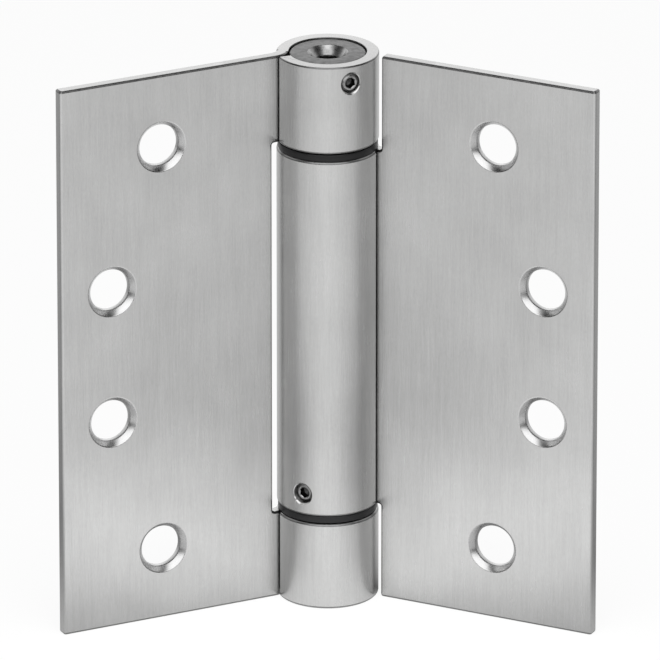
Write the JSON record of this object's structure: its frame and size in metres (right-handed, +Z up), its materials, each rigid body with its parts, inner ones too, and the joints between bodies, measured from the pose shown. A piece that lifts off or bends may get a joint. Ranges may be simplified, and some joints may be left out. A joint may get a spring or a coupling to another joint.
{
  "type": "spring hinge",
  "caption": "Spring loaded full mortise door hinge: two countersunk leaves, rolled knuckles and a long barrel that holds a torsion spring.",
  "frame": {"origin": "on the hinge axis at the hinge's lower end, on the bottom plug's face", "axes": "+Z up the hinge axis, -Y to the side that the open leaves face, +X towards the door leaf"},
  "size_m": [0.1062, 0.0338, 0.1143],
  "materials": {
    "leaf_steel": "satin, brushed along the axis",
    "adjuster_steel": "dark turned steel",
    "screw_steel": "plain steel",
    "spring_steel": "oil tempered",
    "pin_steel": "ground",
    "bearing_plastic": "black moulded"
  },
  "bodies": {
    "frame_side": {"frame_leaf": "leaf_steel", "adjuster_set_screw": "screw_steel", "bottom_plug": "pin_steel", "pintle_pin": "pin_steel"},
    "door_side": {"door_leaf": "leaf_steel", "upper_bearing": "bearing_plastic", "lower_bearing": "bearing_plastic", "spring_anchor": "pin_steel", "anchor_set_screw": "screw_steel"},
    "adjuster": {"tension_adjuster": "adjuster_steel", "spring_arbor": "pin_steel", "torsion_spring": "spring_steel"}
  },
  "joints": [
    {"name": "door_swing", "type": "hinge", "parent": "frame_side", "child": "door_side", "pos_m": [0, 0, 0], "axis": [0, 0, 1], "range_deg": [-127, 53], "stiffness_Nm_per_rad": 1.2, "deforming": ["torsion_spring"]},
    {"name": "spring_tension", "type": "hinge", "parent": "frame_side", "child": "adjuster", "pos_m": [0, 0, 0], "axis": [0, 0, 1], "range_deg": [-360, 0], "deforming": ["torsion_spring"]}
  ]
}
